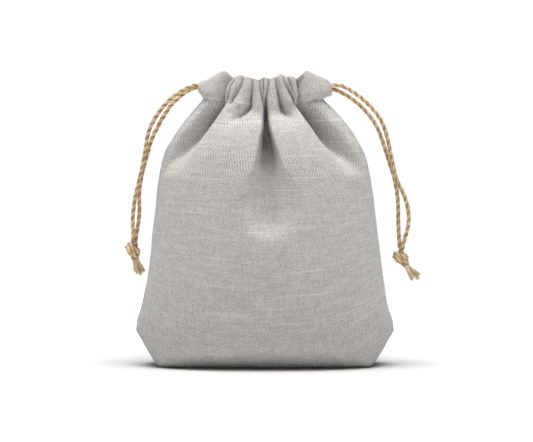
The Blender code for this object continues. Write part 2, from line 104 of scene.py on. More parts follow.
def hermite(t, step, start, end, startSlope, endSlope):
    return (
        start * (1 + 2 * t) * (1 - t) ** 2
        + end * t * t * (3 - 2 * t)
        + step * (startSlope * t * (1 - t) ** 2 - endSlope * t * t * (1 - t))
    )


def monotone(stations, values, at):  # a smooth curve that never overshoots, level past its two ends
    x, y, at = (np.asarray(item, float) for item in (stations, values, at))
    step = np.diff(x)
    slope = np.diff(y) / step
    tangent = np.zeros(len(x))
    sameWay = slope[:-1] * slope[1:] > 0
    before, after = slope[:-1][sameWay], slope[1:][sameWay]
    tangent[1:-1][sameWay] = 2 * before * after / (before + after)
    tangent[0], tangent[-1] = slope[0], slope[-1]
    i = np.clip(np.searchsorted(x, at, side="right") - 1, 0, len(x) - 2)
    t = np.clip((at - x[i]) / step[i], 0, 1)
    return hermite(t, step[i], y[i], y[i + 1], tangent[i], tangent[i + 1])


def lengthsAlong(line):
    return np.concatenate([[0], np.cumsum(np.linalg.norm(np.diff(line, axis=0), axis=1))])


def smoothLine(points, step):  # evenly spaced points on a smooth curve through the given ones
    points = np.array(points, float)
    chord = lengthsAlong(points)
    slope = np.gradient(points, chord, axis=0)
    at = np.linspace(0, chord[-1], max(2, math.ceil(chord[-1] / step)) + 1)
    i = np.clip(np.searchsorted(chord, at, side="right") - 1, 0, len(chord) - 2)
    span = (chord[i + 1] - chord[i])[:, None]
    t = (at - chord[i])[:, None] / span
    return hermite(t, span, points[i], points[i + 1], slope[i], slope[i + 1])


def alongLine(at, length, values):  # each column of the values, read at these lengths
    return np.stack([np.interp(at, length, column) for column in values.T], axis=1)


def unit(vectors):
    return vectors / np.maximum(np.linalg.norm(vectors, axis=-1, keepdims=True), 1e-12)


def lineFrames(line, firstSide=(1.0, 0.0, 0.0)):  # tangents and two cross directions that never twist
    tangents = unit(np.gradient(line, axis=0))
    side = np.array(firstSide, float)
    sides = []
    for tangent in tangents:
        side = side - tangent * side.dot(tangent)
        side /= np.linalg.norm(side)
        sides.append(side)
    sides = np.array(sides)
    return tangents, sides, np.cross(tangents, sides)


def addGrid(work, columns, rows):  # the column and row of each new vertex, and the new faces
    made = bmesh.ops.create_grid(work, x_segments=columns, y_segments=rows, size=1.0)
    places = {}
    for vertex in made["verts"]:
        places[vertex] = (round((vertex.co.x + 1) / 2 * columns), round((vertex.co.y + 1) / 2 * rows))
    return places, {face for vertex in places for face in vertex.link_faces}


def startTubes():  # outness is 1 on a ply's open side, -1 against the other ply and 2 on frayed fibres
    work = bmesh.new()
    work.verts.layers.float.new("outness")
    return work, work.loops.layers.uv.new("UVMap")


def addTube(work, uvs, line, radii, around, along0=0.0, squash=1.0, ways=None, loose=1.0):
    # A tube swept from a grid: its columns run along the line and its rows go round it.
    outness = work.verts.layers.float["outness"]
    line = np.asarray(line, float)
    radii = np.broadcast_to(np.asarray(radii, float), len(line))
    along = lengthsAlong(line)
    sideA, sideB = ways or lineFrames(line, meshSettings["firstSide"])[1:]
    places, faces = addGrid(work, len(line) - 1, around)
    girth = 2 * math.pi * float(radii.max())
    for face in faces:
        for loop in face.loops:
            column, row = places[loop.vert]
            loop[uvs].uv = (girth * row / around, along0 + along[column])
    for vertex, (column, row) in places.items():
        turn = 2 * math.pi * (row % around) / around
        reach = sideA[column] * math.cos(turn) + sideB[column] * math.sin(turn) * squash
        vertex.co = line[column] + reach * radii[column]
        vertex[outness] = math.cos(turn) if ways else loose


def roundEnds(line, radius, tip, first=True, last=True):  # radii that close a tube with rounded ends
    along = lengthsAlong(line)
    near = np.full(len(line), tip)
    if first:
        near = np.minimum(near, along)
    if last:
        near = np.minimum(near, along[-1] - along)
    near = near / tip
    return np.maximum(radius * np.sqrt(1 - (1 - near) ** 2), meshSettings["closedEnd"])


def placePiece(work, name, material):
    mesh = bpy.data.meshes.new(name)
    work.to_mesh(mesh)
    work.free()
    mesh.materials.append(material)
    piece = bpy.data.objects.new(name, mesh)
    bpy.context.scene.collection.objects.link(piece)
    return piece


def finishPiece(work, name, material):
    bmesh.ops.remove_doubles(work, verts=work.verts, dist=meshSettings["merge"])
    bmesh.ops.dissolve_degenerate(work, edges=work.edges, dist=meshSettings["thinnest"])
    bmesh.ops.recalc_face_normals(work, faces=work.faces)
    piece = placePiece(work, name, material)
    piece.data.shade_smooth()
    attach(piece, "root")
    return piece


class nodeBoard:  # a material's nodes, with short calls to add and join them
    def __init__(self, name):
        self.material = bpy.data.materials.new(name)
        self.material.use_nodes = True
        self.tree = self.material.node_tree
        self.shader = self.tree.nodes["Principled BSDF"]

    def add(self, kind, **settings):
        node = self.tree.nodes.new(kind)
        for name, value in settings.items():
            setattr(node, name, value)
        return node

    def feed(self, socket, value):  # a number, a colour or another node's output
        if isinstance(value, tuple):
            socket.default_value = (*value, 1.0)
        elif isinstance(value, (int, float)):
            socket.default_value = value
        else:
            self.tree.links.new(value, socket)

    def fill(self, node, values, names=None):  # feeds its inputs in order and gives its first output
        sockets = [node.inputs[name] for name in names] if names else node.inputs
        for socket, value in zip(sockets, values):
            self.feed(socket, value)
        return node.outputs[0]

    def math(self, operation, *values):
        return self.fill(self.add("ShaderNodeMath", operation=operation), values)

    def vector(self, *values):
        return self.fill(self.add("ShaderNodeCombineXYZ"), values)

    def surface(self):  # the two directions of the piece's own UV, in metres
        split = self.add("ShaderNodeSeparateXYZ")
        self.feed(split.inputs[0], self.add("ShaderNodeUVMap").outputs["UV"])
        return split.outputs[0], split.outputs[1]

    def place(self):
        return self.add("ShaderNodeTexCoord").outputs["Object"]

    def noise(self, vector, scale, detail=2.0, rough=0.5):
        names = ("Vector", "Scale", "Detail", "Roughness")
        return self.fill(self.add("ShaderNodeTexNoise"), (vector, scale, detail, rough), names)

    def choose(self, switch, off, on):
        return self.fill(self.add("ShaderNodeMix", data_type="FLOAT"), (switch, off, on), (0, 2, 3))

    def mix(self, amount, first, second):
        node = self.add("ShaderNodeMix", data_type="RGBA")
        self.fill(node, (amount, first, second), (0, 6, 7))  # the sockets that hold colours
        return node.outputs[2]

    def spread(self, value, low, high, toLow=0.0, toHigh=1.0):
        node = self.add("ShaderNodeMapRange", interpolation_type="SMOOTHSTEP")
        return self.fill(node, (value, low, high, toLow, toHigh))

    def total(self, weights, values):  # each value times its weight, added up
        added = 0.0
        for name, weight in weights.items():
            added = self.math("MULTIPLY_ADD", values[name], weight, added)
        return added

    def bump(self, height, distance):
        return self.fill(self.add("ShaderNodeBump"), (height, distance), ("Height", "Distance"))

    def finish(self, sockets):
        for name, value in sockets.items():
            self.feed(self.shader.inputs[name], value)
        return self.material


# Jute twine: two plies of pale brown fibre, read along each ply's own UV. Each range gives where a colour
# starts and ends on its noise, and its share there.
juteLook = {
    "dark": (0.34, 0.20, 0.085),
    "middle": (0.82, 0.60, 0.34),
    "pale": (0.98, 0.81, 0.56),
    "fibrePitch": 0.00016,
    "fibreLength": 16,  # in pitches
    "fibreLean": 0.55,  # how far the fibres slant round the ply for each length along it
    "fibreNoise": (1.0, 3.0, 0.6),  # scale, detail and roughness
    "patchNoise": (260.0, 2.0),
    "middleFibres": (0.34, 0.56),
    "palePatches": (0.35, 0.75, 0.0, 0.65),
    "paleFibres": (0.60, 0.78, 0.0, 0.7),
    "paintedGrooveShade": (0.0, 0.7, 0.55, 0.0),  # painted shade: darker on the outness, between the plies
    "paleFray": (1.0, 2.0, 0.0, 0.65),
    "bump": 0.00012,
    "shader": {"Roughness": 0.72, "Sheen Weight": 0.12, "Specular IOR Level": 0.3},
}


def juteMaterial(s):
    board = nodeBoard("juteTwine")
    around, along = board.surface()
    slanted = board.math("MULTIPLY_ADD", along, s["fibreLean"], around)
    fibreSpace = board.vector(
        board.math("DIVIDE", slanted, s["fibrePitch"]),
        board.math("DIVIDE", along, s["fibrePitch"] * s["fibreLength"]),
    )
    fibres = board.noise(fibreSpace, *s["fibreNoise"])
    patches = board.noise(board.place(), *s["patchNoise"])
    outness = board.add("ShaderNodeAttribute", attribute_name="outness").outputs["Fac"]
    colour = board.mix(board.spread(fibres, *s["middleFibres"]), s["dark"], s["middle"])
    colour = board.mix(board.spread(patches, *s["palePatches"]), colour, s["pale"])
    colour = board.mix(board.spread(fibres, *s["paleFibres"]), colour, s["pale"])
    # Painted shade: each ply is darker on its side against the other ply
    colour = board.mix(board.spread(outness, *s["paintedGrooveShade"]), colour, s["dark"])
    colour = board.mix(board.spread(outness, *s["paleFray"]), colour, s["pale"])
    return board.finish({"Base Color": colour, "Normal": board.bump(fibres, s["bump"]), **s["shader"]})


jute = juteMaterial(juteLook)

# The cords: where each one hangs, from inside the casing end to its knot
cordSettings = {
    "diameter": 0.0021,
    "plyOffset": 0.00048,  # from the cord's middle to a ply's middle
    "plyRadius": 0.00056,
    "plyWidth": 1.45,  # a pressed ply is this much wider round the cord than it is thick
    "plyTip": 0.0003,
    "plyShift": 0.05,  # along, for the second ply's fibres
    "lay": 0.0074,
    "stepsPerLay": 25,
    "around": 10,
    "firstTurn": 6,  # radians
    "swells": (420, 7.3),  # scale of the thick and thin places along a ply, and from ply to ply
    "swelling": 0.10,
    "hairsPerMetre": 620,
    "hairLength": (0.0012, 0.0044),
    "hairCut": (0.5, 1.0),
    "hairLift": (0.08, 0.42),
    "hairBow": (1.2, 0.4),
    "hairCurl": 0.3,
    "hairRoot": 0.85,  # how far out in the cord a hair starts
    "hairRadius": 0.000028,
    "hairTaper": (1, 1, 0.9, 0.7, 0.3),
    "hairAround": 3,
    "endSteps": 18,  # this near to an end, hairs point away from it
}
cordRoutes = {
    "leftCordFront": [
        (-0.0290, -0.0010, 0.1396), (-0.0343, -0.0010, 0.1399), (-0.0392, -0.0013, 0.1383),
        (-0.0440, -0.0018, 0.1355), (-0.0478, -0.0022, 0.1323), (-0.0509, -0.0025, 0.1290),
        (-0.0535, -0.0027, 0.1255), (-0.0560, -0.0028, 0.1213), (-0.0578, -0.0028, 0.1172),
        (-0.0589, -0.0027, 0.1125), (-0.0599, -0.0024, 0.1060), (-0.0613, -0.0020, 0.0990),
        (-0.0630, -0.0017, 0.0915), (-0.0646, -0.0015, 0.0850), (-0.0656, -0.0014, 0.0785),
        (-0.0661, -0.0013, 0.0715), (-0.0658, -0.0011, 0.0665), (-0.0660, -0.0009, 0.0622),
    ],
    "leftCordBack": [
        (-0.0290, 0.0013, 0.1386), (-0.0343, 0.0013, 0.1389), (-0.0394, 0.0011, 0.1366),
        (-0.0438, 0.0009, 0.1331), (-0.0473, 0.0008, 0.1296), (-0.0496, 0.0007, 0.1261),
        (-0.0518, 0.0006, 0.1226), (-0.0537, 0.0005, 0.1188), (-0.0556, 0.0004, 0.1152),
        (-0.0572, 0.0004, 0.1112), (-0.0590, 0.0006, 0.1050), (-0.0606, 0.0008, 0.0990),
        (-0.0622, 0.0010, 0.0920), (-0.0629, 0.0011, 0.0855), (-0.0628, 0.0011, 0.0780),
        (-0.0634, 0.0011, 0.0710), (-0.0642, 0.0009, 0.0665), (-0.0647, 0.0007, 0.0622),
    ],
    "rightCordFront": [
        (0.0290, -0.0004, 0.1392), (0.0345, -0.0004, 0.1400), (0.0380, -0.0008, 0.1397),
        (0.0415, -0.0012, 0.1381), (0.0450, -0.0016, 0.1359), (0.0485, -0.0020, 0.1332),
        (0.0520, -0.0023, 0.1300), (0.0553, -0.0025, 0.1262), (0.0580, -0.0026, 0.1222),
        (0.0598, -0.0026, 0.1176), (0.0611, -0.0025, 0.1130), (0.0624, -0.0023, 0.1070),
        (0.0640, -0.0020, 0.0995), (0.0661, -0.0018, 0.0920), (0.0690, -0.0017, 0.0860),
        (0.0709, -0.0017, 0.0805), (0.0718, -0.0017, 0.0745), (0.0712, -0.0016, 0.0685),
        (0.0696, -0.0012, 0.0627), (0.0687, -0.0008, 0.0587),
    ],
    "rightCordBack": [
        (0.0290, 0.0008, 0.1370), (0.0345, 0.0008, 0.1378), (0.0380, 0.0009, 0.1364),
        (0.0415, 0.0010, 0.1344), (0.0450, 0.0010, 0.1320), (0.0485, 0.0010, 0.1290),
        (0.0517, 0.0010, 0.1255), (0.0545, 0.0010, 0.1216), (0.0566, 0.0009, 0.1178),
        (0.0581, 0.0009, 0.1140), (0.0599, 0.0009, 0.1085), (0.0618, 0.0010, 0.1025),
        (0.0638, 0.0012, 0.0965), (0.0652, 0.0013, 0.0910), (0.0662, 0.0012, 0.0850),
        (0.0666, 0.0011, 0.0785), (0.0667, 0.0011, 0.0715), (0.0670, 0.0010, 0.0650),
        (0.0675, 0.0008, 0.0587),
    ],
}
cordNodes = {
    "leftCordFront": "left_cord_front",
    "leftCordBack": "left_cord_back",
    "rightCordFront": "right_cord_front",
    "rightCordBack": "right_cord_back",
}


def plyLines(line, s, phase):  # both plies wind round the cord's own line: middles and cross ways
    along = lengthsAlong(line)
    _, sideA, sideB = lineFrames(line)
    plies = []
    for ply in (0, 1):
        turn = (phase + 2 * math.pi * along / s["lay"] + math.pi * ply)[:, None]
        out = sideA * np.cos(turn) + sideB * np.sin(turn)
        plies.append((line + out * s["plyOffset"], (out, sideB * np.cos(turn) - sideA * np.sin(turn))))
    return plies


def addHairs(work, uvs, line, reach, count, s, draw):  # loose fibres that stand off a cord
    along = lengthsAlong(line)
    tangents, sideA, sideB = lineFrames(line)
    steady, eased = s["hairBow"]
    for _ in range(count):
        i = draw.randrange(2, len(line) - 2)
        turn = draw.uniform(0, 2 * math.pi)
        out = sideA[i] * math.cos(turn) + sideB[i] * math.sin(turn)
        if i < s["endSteps"]:
            way = tangents[i]
        elif i > len(line) - s["endSteps"]:
            way = -tangents[i]
        else:
            way = tangents[i] * draw.choice((-1, 1))
        length = draw.uniform(*s["hairLength"]) * draw.uniform(*s["hairCut"])
        lift = draw.uniform(*s["hairLift"])
        curl = np.cross(way, out) * draw.uniform(-s["hairCurl"], s["hairCurl"])
        start = line[i] + out * reach * s["hairRoot"]
        hair = [
            start + way * length * t + out * length * lift * t * (steady - eased * t) + curl * length * t * t
            for t in np.linspace(0, 1, len(s["hairTaper"]))
        ]
        radii = [s["hairRadius"] * share for share in s["hairTaper"]]
        addTube(work, uvs, hair, radii, s["hairAround"], along[i])


def twistedCord(name, route, s):  # the piece, its own line, and how far the plies have turned at its end
    work, uvs = startTubes()
    draw = random.Random(name)
    line = smoothLine(route, s["lay"] / s["stepsPerLay"])
    length = lengthsAlong(line)[-1]
    phase = draw.uniform(0, s["firstTurn"])
    often, apart = s["swells"]
    for number, (ply, ways) in enumerate(plyLines(line, s, phase)):
        swells = [noise.noise(Vector((at * often, apart * number, len(name)))) for at in lengthsAlong(ply)]
        radii = roundEnds(ply, s["plyRadius"], s["plyTip"], last=False) * (1 + s["swelling"] * np.array(swells))
        addTube(work, uvs, ply, radii, s["around"], s["plyShift"] * number, s["plyWidth"], ways)
    addHairs(work, uvs, line, s["diameter"] / 2, int(s["hairsPerMetre"] * length), s, draw)
    return finishPiece(work, name, jute), line, phase + 2 * math.pi * length / s["lay"]


cords = {name: twistedCord(name, route, cordSettings) for name, route in cordRoutes.items()}
print("cords twisted", [round(float(lengthsAlong(line)[-1]), 4) for _, line, _ in cords.values()])

# The knots: both cords tied in one overhand knot, with four frayed plies below it.
# Each row is the strand's middle, and then the direction from the front cord to the back one.
knotSettings = {
    "cordApart": 0.0019,
    "strandTip": 0.0004,
    "hairs": 34,
    "hairReach": 0.001,
    "fibres": 64,
    "fibreRadius": (0.00006, 0.00012),
    "fibreLength": (0.86, 1.04),  # for each length of the tuft
    "fibreDrift": 0.9,
    "fibreTaper": 0.55,
    "fibreAround": 4,
    "fibreShift": (0, 0.05),  # where each strand's or fibre's own pattern starts
    "tuftCore": 0.00055,
    "tuftCoreShare": 0.85,
    "tuftCoreTip": 0.0012,
    "tuftCoreAround": 8,
    "tuftSpread": 0.00098,
    "tuftOpening": 1.5,  # how late it opens
    "tuftStep": 0.0007,
    "tuftLap": 0.0008,  # how far it starts inside its ply and goes straight on
    "tuftBend": (0.55, 0.45),  # shares of its two ends in the place where it bends
    "tuftDrop": 0.0006,
    "loose": 2.0,  # outness of frayed fibres
}
knotLine = [
    ((0.0004, 0.0000, 0.0042), (1.00, 0.00, 0.00)),
    ((0.0004, 0.0006, 0.0018), (1.00, 0.05, 0.05)),
    ((0.0013, 0.0012, -0.0010), (0.90, 0.35, 0.20)),
    ((0.0002, 0.0020, -0.0020), (0.38, 0.57, 0.72)),
    ((-0.0014, 0.0020, -0.0002), (0.69, 0.35, 0.55)),
    ((-0.0024, 0.0010, 0.0019), (0.48, 0.44, 0.62)),
    ((-0.0026, -0.0008, 0.0027), (0.59, 0.12, 0.78)),
    ((-0.0014, -0.0020, 0.0016), (0.68, 0.01, 0.71)),
    ((0.0006, -0.0022, -0.0003), (0.66, -0.01, 0.74)),
    ((0.0022, -0.0012, -0.0016), (0.43, -0.17, 0.90)),
    ((0.0023, 0.0006, -0.0006), (0.12, -0.03, 0.94)),
    ((0.0012, 0.0008, -0.0014), (-0.62, 0.48, 0.21)),
    ((0.0009, 0.0000, -0.0034), (-0.90, 0.35, -0.16)),
    ((0.0012, -0.0001, -0.0046), (-0.85, -0.45, -0.10)),
]
knots = {
    "leftKnot": {
        "node": "left_knot",
        "cords": ("leftCordFront", "leftCordBack"),
        "centre": (-0.0659, 0.0000, 0.0573),
        "lean": 0.0,
        "tips": [
            (0.0010, 0.0006, -0.0105), (0.0022, -0.0010, -0.0116),
            (0.0036, 0.0008, -0.0122), (0.0055, -0.0006, -0.0106),
        ],
    },
    "rightKnot": {
        "node": "right_knot",
        "cords": ("rightCordFront", "rightCordBack"),
        "centre": (0.0682, 0.0000, 0.0537),
        "lean": math.radians(-20),
        "tips": [
            (0.0056, 0.0008, -0.0112), (0.0064, -0.0012, -0.0100),
            (0.0086, 0.0008, -0.0108), (0.0094, -0.0006, -0.0086),
        ],
    },
}


def addTuft(work, uvs, path, s, draw):  # one untwisted ply: a bundle of fibres that opens towards its tip
    line = smoothLine(path, s["tuftStep"])
    _, sideA, sideB = lineFrames(line)
    share = np.linspace(0, 1, len(line))
    opened = s["tuftCore"] + (s["tuftSpread"] - s["tuftCore"]) * share ** s["tuftOpening"]
    core = line[: int(len(line) * s["tuftCoreShare"])]
    radii = roundEnds(core, s["tuftCore"], s["tuftCoreTip"])
    addTube(work, uvs, core, radii, s["tuftCoreAround"], loose=s["loose"])
    for _ in range(s["fibres"]):
        turn, reach = draw.uniform(0, 2 * math.pi), math.sqrt(draw.random())
        ends = draw.uniform(*s["fibreLength"])
        drift = turn + draw.uniform(-s["fibreDrift"], s["fibreDrift"]) * share
        across = sideA * np.cos(drift)[:, None] + sideB * np.sin(drift)[:, None]
        fibre = line + across * (opened * reach)[:, None]
        fibre[-1] += (fibre[-1] - fibre[-2]) * (ends - 1) * len(line)
        radii = draw.uniform(*s["fibreRadius"]) * (1 - s["fibreTaper"] * share**3)
        addTube(work, uvs, fibre, radii, s["fibreAround"], draw.uniform(*s["fibreShift"]), loose=s["loose"])


def tiedKnot(name, place, s, c):
    work, uvs = startTubes()
    draw = random.Random(name)
    centre = np.array(place["centre"])
    lean = np.array(Matrix.Rotation(place["lean"], 3, "Y"))
    middles = np.array([row[0] for row in knotLine]) @ lean.T + centre
    across = unit(np.array([row[1] for row in knotLine]) @ lean.T)
    tips = [np.array(tip) + centre for tip in place["tips"]]
    endShare, tipShare = s["tuftBend"]
    for cord, side, wanted in zip(place["cords"], (-0.5, 0.5), (tips[2:], tips[:2])):
        strand = middles + across * side * s["cordApart"]
        strand[0] = cords[cord][1][-1]  # it takes over where the hanging cord ends
        line = smoothLine(strand, c["lay"] / c["stepsPerLay"])
        plies = plyLines(line, c, cords[cord][2])
        for ply, ways in plies:
            radii = roundEnds(ply, c["plyRadius"], s["strandTip"], first=False)
            addTube(work, uvs, ply, radii, c["around"], draw.uniform(*s["fibreShift"]), c["plyWidth"], ways)
        ends = sorted((ply[-1] for ply, _ in plies), key=lambda end: end[0])
        along = unit(line[-1] - line[-4])
        for end, tip in zip(ends, wanted):
            bend = end * endShare + tip * tipShare + along * s["tuftDrop"]
            path = [end - along * s["tuftLap"], end + along * s["tuftLap"], bend, tip]
            addTuft(work, uvs, path, s, draw)
        addHairs(work, uvs, line, s["hairReach"], s["hairs"], c, draw)
    return finishPiece(work, name, jute)


knotPieces = {name: tiedKnot(name, place, knotSettings, cordSettings) for name, place in knots.items()}
print("knots tied")

for name, (piece, line, _) in cords.items():
    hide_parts(cordNodes[name])
    tuple(float(value) for value in line[0])
    round(float(lengthsAlong(line)[-1]), 4)
    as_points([tuple(float(value) for value in point) for point in line[::4]] + [tuple(map(float, line[-1]))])
for name, piece in knotPieces.items():
    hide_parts(knots[name]["node"])

# The cloth. Lengths in these tables are in millimetres.
# Each section from the bottom fold to the top edge: distance up the cloth, height at the middle and at the
# side seams, half sizes to the left, right and front, the share that stays low, how sharply it then rises,
# and the exponent of the plan's rounding.
sectionNames = ("up", "midZ", "seamZ", "left", "right", "depth", "flat", "power", "square")
sections = [
    (0.0, 0.0, 17.0, 64.5, 64.5, 0.0, 0.82, 1.2, 2.6),
    (10.0, 0.0, 18.2, 64.5, 64.5, 10.5, 0.82, 1.2, 2.6),
    (15.0, 0.1, 19.0, 64.4, 64.4, 14.6, 0.81, 1.2, 2.6),
    (20.0, 1.6, 20.2, 64.3, 64.3, 19.3, 0.80, 1.2, 2.6),
    (27.0, 6.2, 23.2, 63.8, 63.7, 24.8, 0.72, 1.3, 2.5),
    (35.0, 12.8, 28.2, 62.1, 62.0, 29.4, 0.55, 1.4, 2.4),
    (50.0, 27.2, 38.2, 59.8, 60.0, 32.0, 0.35, 1.6, 2.3),
    (70.0, 46.5, 53.6, 57.6, 58.0, 33.0, 0.20, 1.8, 2.2),
    (90.0, 65.0, 70.5, 55.7, 55.8, 32.5, 0.10, 2.0, 2.1),
    (115.0, 90.0, 92.5, 53.3, 53.0, 30.4, 0.00, 2.0, 2.0),
    (129.0, 103.5, 104.5, 50.8, 50.2, 26.5, 0.00, 2.0, 2.0),
    (139.0, 112.5, 113.5, 46.2, 45.6, 22.1, 0.00, 2.0, 2.0),
    (149.0, 121.0, 122.5, 39.8, 39.2, 16.8, 0.00, 2.0, 2.1),
    (155.0, 126.4, 129.0, 34.6, 33.2, 12.8, 0.00, 2.0, 2.2),
    (158.0, 129.2, 133.3, 31.0, 29.2, 11.8, 0.00, 2.0, 2.4),
    (160.5, 131.6, 134.9, 31.9, 33.3, 11.4, 0.00, 2.0, 2.4),
    (164.0, 135.0, 137.4, 33.5, 33.9, 11.0, 0.00, 2.0, 2.3),
    (168.0, 138.9, 139.5, 34.0, 34.3, 10.1, 0.00, 2.0, 2.2),
    (170.5, 141.3, 141.1, 33.0, 33.6, 9.3, 0.00, 2.0, 2.2),
    (173.0, 143.7, 142.4, 30.8, 31.6, 8.0, 0.00, 2.0, 2.2),
]
# Each fold from the top edge down: distance up the cloth, place in x, depth, how far it takes to rise again
# to its left and to its right, how flat its floor is, and how far that is pushed under its neighbour, if at all.
foldNames = ("up", "x", "deep", "left", "right", "floor", "under")
frontFolds = {
    "leftValley": [
        (173, -16.7, 4.3, 2.10, 0.85, 1.2, 0.2), (168, -19.2, 5, 2.60, 0.79, 1.2, 0.3),
        (163, -21, 6, 2.86, 0.79, 1.2, 0.4), (158, -21.8, 7.4, 3.70, 1.34, 1.4, 0.7),
        (154.5, -25, 10.8, 4.8, 2, 1.9, 1.2), (148.5, -30.4, 13.2, 5, 3.4, 2.4, 1),
        (141, -37.2, 12.2, 4.8, 5.6, 2.6, 0.5), (136, -41.2, 9.8, 4.6, 7, 2.6, 0.2),
        (131, -44.4, 7.2, 4.5, 8, 2.5), (126.5, -46.8, 4.2, 4.5, 9, 2.4),
        (122, -48.6, 1.8, 4.5, 9, 2.4), (117.5, -50, 0, 4.5, 9, 2.4),
    ],
    "leftTuck": [
        (173, -14.4, 2.2, 0.79, 0.66, 1.2), (168, -17, 2.8, 0.66, 0.66, 1.2),
        (163, -18.3, 3, 0.59, 0.66, 1.2), (160, -19.2, 1.9, 0.66, 0.79, 1.2),
        (156.5, -20.4, 0, 1.20, 1.40, 1.3),
    ],
    "leftSmallTuck": [
        (173, -10.4, 1.8, 0.72, 0.85, 1.2), (170, -11.4, 2.4, 0.66, 0.98, 1.2),
        (166.5, -13.2, 3.2, 0.59, 1.12, 1.2), (163, -15.2, 3.2, 0.59, 1.31, 1.2),
        (160, -16.6, 2.2, 0.72, 1.31, 1.2), (156, -17.6, 0, 1.40, 2, 1.5),
    ],
    "leftPleat": [
        (173, -5.7, 4.1, 1.12, 0.72, 1.2), (168, -6.3, 4.8, 1.05, 0.72, 1.2),
        (163, -6.8, 5.5, 1.12, 0.79, 1.2), (158, -7.4, 5.6, 1.70, 1.10, 1.3, 0.2),
        (155, -9.4, 4.4, 2.2, 1.5, 1.3, 0.3), (152.8, -12, 3.3, 2.4, 1.8, 1.4, 0.2),
        (150.2, -15, 1.9, 2.8, 2.4, 1.6), (146, -18.2, 0, 3.4, 3, 1.8),
    ],
    "leftOfMiddle": [
        (173, -2.8, 3, 0.72, 0.59, 1.2), (168, -2.4, 3.6, 0.66, 0.52, 1.2),
        (163, -1.4, 3.6, 0.66, 0.52, 1.2), (159, -0.7, 2.2, 1.01, 0.67, 1.3),
        (155.5, 0, 0, 1.20, 0.80, 1.3),
    ],
    "middleSlot": [
        (173, -0.5, 0, 0.39, 0.39, 1.2), (171, -0.6, 1.9, 0.36, 0.36, 1.2),
        (168, -0.7, 3.4, 0.33, 0.36, 1.2), (165.5, -0.6, 2.2, 0.29, 0.33, 1.2),
        (163.5, -0.5, 0, 0.26, 0.26, 1.2),
    ],
    "middleValley": [
        (173, 2.4, 2.6, 0.67, 0.67, 1.2), (168, 1.4, 3.4, 0.59, 0.67, 1.2),
        (163, 0.7, 5, 0.59, 0.67, 1.2), (158, 0.3, 8, 0.67, 0.76, 1.4),
        (154, 0.3, 11.8, 1, 1.1, 1.8), (150, 0.4, 15.2, 1.2, 1.3, 2.4),
        (147, 0.5, 18, 1.3, 1.5, 3), (144, 0.6, 20.4, 1.9, 2.1, 3.6, 0.2),
        (141, 0.6, 21.4, 2.6, 2.9, 5.4, 0.3), (135, 1, 21, 3.7, 4.1, 6.4, 0.5),
        (129.5, 1.3, 18, 4.7, 5.2, 5.6, 0.5), (124, 1.5, 14.8, 5.7, 6, 4, 0.3),
        (119, 1.5, 12.4, 7, 7.4, 2.8), (113, 1.5, 10.6, 8.8, 9.2, 2.2),
        (105, 1.5, 8.6, 10, 10.6, 2), (101, 1.5, 7.5, 9.4, 10, 2),
        (98, 1.5, 6.4, 8.4, 9, 2), (95, 1.5, 4.5, 7, 7.4, 2),
        (92.5, 1.5, 2, 5.6, 5.8, 2), (90.5, 1.5, 0.35, 4.6, 4.6, 2),
        (88.5, 1.5, 0, 4.6, 4.6, 2),
    ],
    "rightPleat": [
        (173, 5.2, 3.8, 0.72, 0.98, 1.2), (168, 5.8, 4.6, 0.66, 0.98, 1.2),
        (163, 6.8, 5.6, 0.72, 1.05, 1.2), (158, 8, 5.9, 1.10, 1.50, 1.3),
        (155, 9.2, 4.7, 1.7, 2.3, 1.4), (152, 11.6, 2.6, 2.4, 3, 1.6),
        (148, 14.5, 0.9, 3, 4, 1.8), (144, 17, 0, 3, 4, 1.8),
    ],
    "rightTuck": [
        (173, 8.6, 2.3, 0.66, 0.66, 1.2), (168, 10.6, 2.9, 0.66, 0.66, 1.2),
        (163, 13.4, 4.2, 0.66, 0.72, 1.2), (159, 15.2, 3.6, 0.95, 0.90, 1.3),
        (156.5, 16.9, 1.8, 1.30, 1.10, 1.3), (154, 18.5, 0, 1.40, 1.10, 1.3),
    ],
    "rightSlot": [
        (173, 11.2, 0.7, 0.52, 0.52, 1.2), (171.5, 11.7, 2.2, 0.46, 0.46, 1.2),
        (169.5, 12.4, 3.8, 0.39, 0.46, 1.2), (167, 13.4, 3.1, 0.39, 0.46, 1.2),
        (164.5, 14.3, 1, 0.39, 0.46, 1.2), (162, 15, 0, 0.39, 0.46, 1.2),
    ],
    "rightValley": [
        (173, 15.2, 4.3, 0.85, 1.44, 1.2), (170, 16.8, 5.8, 0.98, 1.68, 1.2),
        (166, 16.8, 5.3, 0.72, 2.27, 1.2), (162, 17.2, 6, 0.72, 2.52, 1.2, -0.3),
        (158, 17.9, 7.6, 1.26, 3.36, 1.5, -0.7), (154.5, 20.6, 10.8, 2, 4.8, 1.9, -1.2),
        (150, 24.6, 13.2, 2.9, 5.2, 2.3, -1.2), (145, 29.2, 14.4, 4.2, 5.2, 2.6, -1),
        (139.5, 33.8, 13.2, 5.8, 5, 2.7, -0.6), (134, 38.2, 10.4, 7, 4.8, 2.7, -0.3),
        (129, 41.6, 6.6, 8.2, 4.6, 2.6), (124, 44.4, 3, 9, 4.5, 2.5),
        (118.5, 46.6, 0, 9, 4.5, 2.4),
    ],
}
